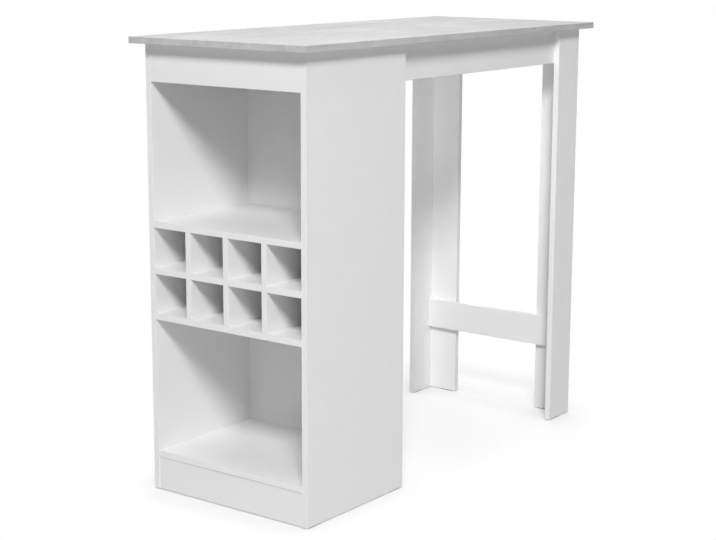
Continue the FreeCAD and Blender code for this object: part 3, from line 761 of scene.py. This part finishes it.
bolt, given, result = part_tree("cam_bolt", BOLT_SIZES)
thread = threaded(bolt, given["Pitch"])
off_crown = work_out(bolt, "SUBTRACT", thread["Depth"], work_out(bolt, "MULTIPLY", given["Head Height"], 0.5))
share = work_out(bolt, "POWER", work_out(bolt, "DIVIDE", off_crown, given["Head Arc"]), 2)
arc = work_out(bolt, "SQRT", work_out(bolt, "MAXIMUM", 0, work_out(bolt, "SUBTRACT", 1, share)))
ball = work_out(bolt, "MULTIPLY", given["Head Radius"], arc)
step_end = work_out(bolt, "ADD", given["Neck End"], STEP)
body = spread(bolt, thread["Depth"], given["Neck Radius"], given["Shank Radius"], given["Neck End"], step_end)
thread_start = work_out(bolt, "SUBTRACT", given["Length"], given["Thread Length"])
cut_in = spread(bolt, thread["Depth"], 0, 1, thread_start, work_out(bolt, "ADD", thread_start, STEP))
root = work_out(bolt, "MULTIPLY", work_out(bolt, "SUBTRACT", 1, thread["Wave"]), cut_in)
thread_depth = work_out(bolt, "SUBTRACT", given["Shank Radius"], given["Core Radius"])
groove = work_out(bolt, "MULTIPLY", root, thread_depth)
radius = work_out(bolt, "SUBTRACT", work_out(bolt, "MAXIMUM", ball, body), groove)
tip_start = work_out(bolt, "SUBTRACT", given["Length"], given["Pitch"])
taper = spread(bolt, thread["Depth"], 1, TIP_SHARE, tip_start, given["Length"])
narrowed = work_out(bolt, "MULTIPLY", radius, taper)
pin = turned_pin(bolt, BOLT_SIDES, BOLT_ROWS, given["Length"], 0.0, narrowed)
recess = work_out(bolt, "MULTIPLY", given["Head Height"], BOLT_RECESS_SHARE)
bars = cross_bars(bolt, given["Neck Radius"], recess)
set_on_places(bolt, given, result, carve(bolt, "DIFFERENCE", pin, bars))
cam_bolts = bake("cabinet_cam_bolts", bolt, bolt_places, "plated_steel")
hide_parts("cam_bolts")

# %% [markdown]
# ## Screw caps
# The two stretcher screws come from outside, so a thin push-on cap covers each head. It is a low dome: a
# disc with rings of points on its top, which are lifted along the arc of a circle.

# %% Screw cap
CAP_SIZES = {"Radius": 6.5 * MM, "Height": 0.8 * MM, "Rim Share": 0.4}
CAP_SIDES, CAP_RINGS = 40, 6

cap, given, result = part_tree("screw_cap", CAP_SIZES)
disc = add(cap, "GeometryNodeMeshCylinder", {
    "Vertices": CAP_SIDES, "Fill Segments": CAP_RINGS, "Radius": given["Radius"], "Depth": given["Height"],
}).outputs[0]
at = where(cap)
squares = work_out(cap, "ADD", work_out(cap, "POWER", at["X"], 2), work_out(cap, "POWER", at["Y"], 2))
share = work_out(cap, "DIVIDE", work_out(cap, "SQRT", squares), given["Radius"])
under_arc = work_out(cap, "SUBTRACT", 1, work_out(cap, "POWER", share, 2))
arc = work_out(cap, "SQRT", work_out(cap, "MAXIMUM", 0, under_arc))
lift = work_out(cap, "MULTIPLY", given["Height"], spread(cap, arc, given["Rim Share"], 1))
level = work_out(cap, "MULTIPLY", lift, work_out(cap, "GREATER_THAN", at["Z"], 0))
domed = vector(cap, at["X"], at["Y"], level)
dome = add(cap, "GeometryNodeSetPosition", {"Geometry": disc, "Position": domed}).outputs[0]
set_on_places(cap, given, result, dome)
stretcher_caps = bake("stretcher_screw_caps", cap, cap_places, "white_plastic")
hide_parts("screw_caps")

# %% [markdown]
# ## Dowels
# The rack shelves sit on fluted beech dowels. The flutes let air and spare glue out of the blind hole. A
# cylinder with two points to each flute has every other point drawn in, and its end rings are drawn in
# further, for the chamfer that helps the dowel to start.

# %% Fluted dowel
DOWEL_SIZES = {"Radius": 4 * MM, "Length": 30 * MM, "Flute Depth": 0.3 * MM, "Chamfer": 1 * MM}
FLUTES = 20
PEG_BANDS = 3

dowel, given, result = part_tree("fluted_dowel", DOWEL_SIZES)
peg = add(dowel, "GeometryNodeMeshCylinder", {
    "Vertices": 2 * FLUTES, "Side Segments": PEG_BANDS, "Radius": 1.0, "Depth": given["Length"],
}).outputs[0]
at = where(dowel)
angle = work_out(dowel, "ARCTAN2", at["Y"], at["X"])
ridge = work_out(dowel, "COSINE", work_out(dowel, "MULTIPLY", angle, FLUTES))
groove = work_out(dowel, "MULTIPLY", work_out(dowel, "LESS_THAN", ridge, 0), given["Flute Depth"])
quarter = work_out(dowel, "MULTIPLY", given["Length"], 0.25)
is_end = work_out(dowel, "GREATER_THAN", work_out(dowel, "ABSOLUTE", at["Z"]), quarter)
inner = work_out(dowel, "SUBTRACT", 1, is_end)
radius = work_out(dowel, "SUBTRACT", work_out(dowel, "SUBTRACT", given["Radius"], groove),
                  work_out(dowel, "MULTIPLY", is_end, given["Chamfer"]))
half = work_out(dowel, "SUBTRACT", work_out(dowel, "MULTIPLY", given["Length"], 0.5),
                work_out(dowel, "MULTIPLY", inner, given["Chamfer"]))
level = work_out(dowel, "MULTIPLY", work_out(dowel, "SIGN", at["Z"]), half)
fluted = vector(dowel, work_out(dowel, "MULTIPLY", at["X"], radius),
                work_out(dowel, "MULTIPLY", at["Y"], radius), level)
peg = add(dowel, "GeometryNodeSetPosition", {"Geometry": peg, "Position": fluted}).outputs[0]
set_on_places(dowel, given, result, peg)
shelf_dowels = bake("shelf_dowels", dowel, dowel_places, "beech")
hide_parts("wood_dowels")

# %% [markdown]
# ## Corner blocks
# Moulded blocks join the top, fascia, plinth and aprons. Each has two deep pockets, one towards each board,
# with a countersunk seat and a hole at the bottom. The block is a bar with its nose cut off by a turned
# bar, and a pocket is three stacked round solids that are cut away, once along X and once along Y.

# %% Corner block
BLOCK_SIZES = {
    "Leg": 20 * MM, "Length": 40 * MM, "Nose Flat": 8 * MM, "Pocket Radius": 4.4 * MM, "Web": 8 * MM,
    "Head Radius": 3.5 * MM, "Head Height": 2 * MM, "Hole Radius": 1.8 * MM, "Off Corner": 10.5 * MM,
    "Off Middle": 10 * MM,
}
OVERLAP = 0.05 * MM
BORE_SIDES = 32
BLOCK_EDGE = 0.4 * MM
NOSE_TURN = (0.0, 0.0, math.radians(45))
TO_Y, TO_X = (math.radians(-90), 0.0, 0.0), (0.0, math.radians(90), 0.0)

block, given, result = part_tree("corner_block", BLOCK_SIZES)
half_leg = work_out(block, "MULTIPLY", given["Leg"], 0.5)
bar_size = vector(block, given["Leg"], given["Leg"], given["Length"])
bar = moved(block, add(block, "GeometryNodeMeshCube", {"Size": bar_size}).outputs[0],
            vector(block, half_leg, half_leg))
nose_size = vector(block, given["Leg"], work_out(block, "MULTIPLY", given["Leg"], 2),
                   work_out(block, "MULTIPLY", given["Length"], 2))
nose_sum = work_out(block, "ADD", given["Leg"], given["Nose Flat"])
nose_off = work_out(block, "ADD", work_out(block, "MULTIPLY", nose_sum, 0.5),
                    work_out(block, "MULTIPLY", half_leg, math.sqrt(0.5)))
nose = moved(block, add(block, "GeometryNodeMeshCube", {"Size": nose_size}).outputs[0],
             vector(block, nose_off, nose_off), NOSE_TURN)

well = moved(block, add(block, "GeometryNodeMeshCylinder", {
    "Vertices": BORE_SIDES, "Radius": given["Pocket Radius"], "Depth": given["Leg"],
}).outputs[0], vector(block, z=work_out(block, "ADD", given["Web"], half_leg)))
seat_bottom = work_out(block, "SUBTRACT", given["Web"], given["Head Height"])
seat = moved(block, add(block, "GeometryNodeMeshCone", {
    "Vertices": BORE_SIDES, "Radius Top": given["Head Radius"], "Radius Bottom": given["Hole Radius"],
    "Depth": work_out(block, "ADD", given["Head Height"], OVERLAP),
}).outputs[0], vector(block, z=seat_bottom))
hole = add(block, "GeometryNodeMeshCylinder", {
    "Vertices": BORE_SIDES, "Radius": given["Hole Radius"], "Depth": given["Leg"],
}).outputs[0]
aside = work_out(block, "MULTIPLY", given["Off Middle"], -1)
pockets = [nose]
for cutter in (well, seat, hole):
    pockets.append(moved(block, cutter, vector(block, x=given["Off Corner"], z=given["Off Middle"]), TO_Y))
    pockets.append(moved(block, cutter, vector(block, y=given["Off Corner"], z=aside), TO_X))
set_on_places(block, given, result, carve(block, "DIFFERENCE", bar, pockets))
blocks = bake("corner_blocks_moulded", block, block_places, "white_plastic", broken_edge=BLOCK_EDGE)
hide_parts("corner_blocks")

# %% [markdown]
# Each block is held by two short screws, one into each board. They are the same screw tree with smaller
# sizes. Their places follow from the block's: on the seat of each pocket, with the head towards the room.

# %% Block screws
BLOCK_SCREW_SIZES = {
    "Length": 16 * MM, "Head Radius": 3.5 * MM, "Head Height": 2 * MM, "Crest Radius": 1.7 * MM,
    "Core Radius": 1.25 * MM, "Pitch": 1.6 * MM, "Point Length": 3 * MM,
}
X, Y, Z = (Vector(axis) for axis in AXES.values())


def block_screw_places(corner, turn):
    across, along = BLOCK_SIZES["Off Corner"], BLOCK_SIZES["Off Middle"]
    for side, up, shift in ((X, Y, along), (Y, X, -along)):
        seat = side * across + up * BLOCK_SIZES["Web"] + Z * shift
        yield corner + turn @ seat, turned_to(turn @ up)


short_places = [place for corner, turn in block_places for place in block_screw_places(corner, turn)]
block_screws = bake("corner_block_screws", screw, short_places, "plated_steel", BLOCK_SCREW_SIZES)

# %% [markdown]
# ## Floor and background
# The table stands on a plain white floor that runs into a white background. For the light that bounces,
# the floor is an ordinary pale surface. What the camera and the reflections see is partly its own white
# and partly shaded, so it keeps the table's shadow, and with distance from the table's foot it turns to
# plain white. A Light Path node tells the two kinds of ray apart. Beside a foot, an Ambient Occlusion node
# takes some of the white away: a painted contact shade, the thin dark line that shows that the table stands
# there.
# Seen from below the floor is clear, so that the underside of the table can be looked at.

# %% Floor
WHITE = (1, 1, 1, 1)
FLOOR_BOUNCE = (0.60, 0.60, 0.60, 1)
FLOOR_SHADED = (0.52, 0.52, 0.52, 1)
FLOOR_OWN_WHITE = 0.54
FLOOR_REACH = 6.0
FLOOR_SIDES = 96
FOOT_HALF = (0.57, 0.23, 0.0)
FADE_FROM, FADE_TO = 0.0, 0.32
# How far the painted contact shade reaches from a foot, and how much white it takes away.
CONTACT_REACH = 0.11
CONTACT_SHADE = 0.6


def seen_ray(tree):
    """One for rays of the camera, of reflections and through clear things, zero for rays of light."""
    rays = add(tree, "ShaderNodeLightPath").outputs
    mirrored = work_out(tree, "MAXIMUM", rays["Is Glossy Ray"], rays["Is Transmission Ray"])
    return work_out(tree, "MAXIMUM", rays["Is Camera Ray"], mirrored)


def floor_finish():
    material, tree, shader = new_material("pale_floor")
    tree.nodes.remove(shader)
    bounce = add(tree, "ShaderNodeBsdfDiffuse", {"Color": FLOOR_BOUNCE}).outputs[0]
    shaded = add(tree, "ShaderNodeBsdfDiffuse", {"Color": FLOOR_SHADED}).outputs[0]
    # Painted contact shade: the Ambient Occlusion share dims the floor's own white next to each foot.
    open_share = add(tree, "ShaderNodeAmbientOcclusion", {"Distance": CONTACT_REACH}).outputs["AO"]
    white = spread(tree, open_share, 1 - CONTACT_SHADE, 1)
    own_white = work_out(tree, "MULTIPLY", white, FLOOR_OWN_WHITE)
    own = add(tree, "ShaderNodeEmission", {"Color": WHITE, "Strength": own_white}).outputs[0]
    near = add(tree, "ShaderNodeAddShader", {0: shaded, 1: own}).outputs[0]
    far = add(tree, "ShaderNodeEmission", {"Color": WHITE, "Strength": white}).outputs[0]
    place = add(tree, "ShaderNodeTexCoord").outputs["Object"]
    off = add(tree, "ShaderNodeVectorMath", {0: place}, operation="ABSOLUTE").outputs[0]
    off = add(tree, "ShaderNodeVectorMath", {0: off, 1: FOOT_HALF}, operation="SUBTRACT").outputs[0]
    off = add(tree, "ShaderNodeVectorMath", {0: off, 1: (0, 0, 0)}, operation="MAXIMUM").outputs[0]
    distance = add(tree, "ShaderNodeVectorMath", {0: off}, operation="LENGTH").outputs["Value"]
    fade = spread(tree, distance, 0, 1, FADE_FROM, FADE_TO)
    backdrop = add(tree, "ShaderNodeMixShader", {0: fade, 1: near, 2: far}).outputs[0]
    upper = add(tree, "ShaderNodeMixShader", {0: seen_ray(tree), 1: bounce, 2: backdrop}).outputs[0]
    clear = add(tree, "ShaderNodeBsdfTransparent").outputs[0]
    from_below = add(tree, "ShaderNodeNewGeometry").outputs["Backfacing"]
    surface = add(tree, "ShaderNodeMixShader", {0: from_below, 1: upper, 2: clear}).outputs[0]
    tree.links.new(surface, tree.nodes["Material Output"].inputs["Surface"])
    return material


floor_form = bmesh.new()
bmesh.ops.create_circle(floor_form, cap_ends=True, segments=FLOOR_SIDES, radius=FLOOR_REACH)
floor_mesh = bpy.data.meshes.new("floor")
floor_form.to_mesh(floor_mesh)
floor_form.free()
floor_mesh.materials.append(floor_finish())
floor = bpy.data.objects.new("floor", floor_mesh)
scene.collection.objects.link(floor)
print("floor of", FLOOR_REACH, "m radius")

# %% [markdown]
# The white background fills half of the picture, but as a lamp it would wash out every shadow. So the world
# is white only to rays that are seen, and gives the others just a trace of even light. The Standard view
# shows the colours as they are written.

# %% World
WORLD_LIGHT = 0.05
world = bpy.data.worlds.new("studio")
scene.world = world
world.use_nodes = True
tree = world.node_tree
sky = tree.nodes["Background"].inputs
tree.links.new(spread(tree, seen_ray(tree), WORLD_LIGHT, 1.0), sky["Strength"])
sky["Color"].default_value = WHITE
scene.view_settings.view_transform = "Standard"
print("world gives", WORLD_LIGHT, "of light and looks white")

# %% [markdown]
# ## Light
# One large soft lamp far behind the camera, high and a little to its right, gives the soft-edged shadows
# under the top and in the compartments. Because it is far off, the legs get as much of it as the cabinet.
# A weak lamp at camera height opens the shadows, one overhead lifts the top, and a low one behind the table
# keeps its back faces readable. A small lamp with a narrow beam stands in for the light that is thrown to
# and fro between the cabinet and the legs.

# %% Lamps
TABLE_MIDDLE = (-0.2, 0.0, 0.7)
SOFTBOXES = {
    "key_softbox": dict(place=(-5.73, -4.47, 6.23), size=2.2, power=660),
    "camera_side_softbox": dict(place=(-4.4, -4.4, 0.8), size=3.0, power=25),
    "overhead_softbox": dict(place=(0.0, 0.0, 5.0), size=4.0, power=112),
    "rear_softbox": dict(place=(4.5, 3.5, 0.4), size=1.6, power=180),
    "leg_softbox": dict(place=(0.0, -0.17, 0.74), size=0.3, power=0.28, aim=(0.38, 0.15, 0.74), beam=100),
}


def softbox(name, place, size, power, aim=TABLE_MIDDLE, beam=180):
    data = bpy.data.lights.new(name, "AREA")
    data.shape = "DISK"
    data.size = size
    data.energy = power
    data.spread = math.radians(beam)
    lamp = bpy.data.objects.new(name, data)
    scene.collection.objects.link(lamp)
    lamp.location = place
    lamp.rotation_euler = (Vector(aim) - lamp.location).to_track_quat("-Z", "Y").to_euler()
    lamp.visible_camera = False


for name, values in SOFTBOXES.items():
    softbox(name, **values)
print(len(SOFTBOXES), "lamps of", sum(values["power"] for values in SOFTBOXES.values()), "W in all")

# %% [markdown]
# ## The end
# The dressed table has to fill the same box as the CAD model.

# %% Finish
print("table dressed, hardware made, camera, floor and light set")
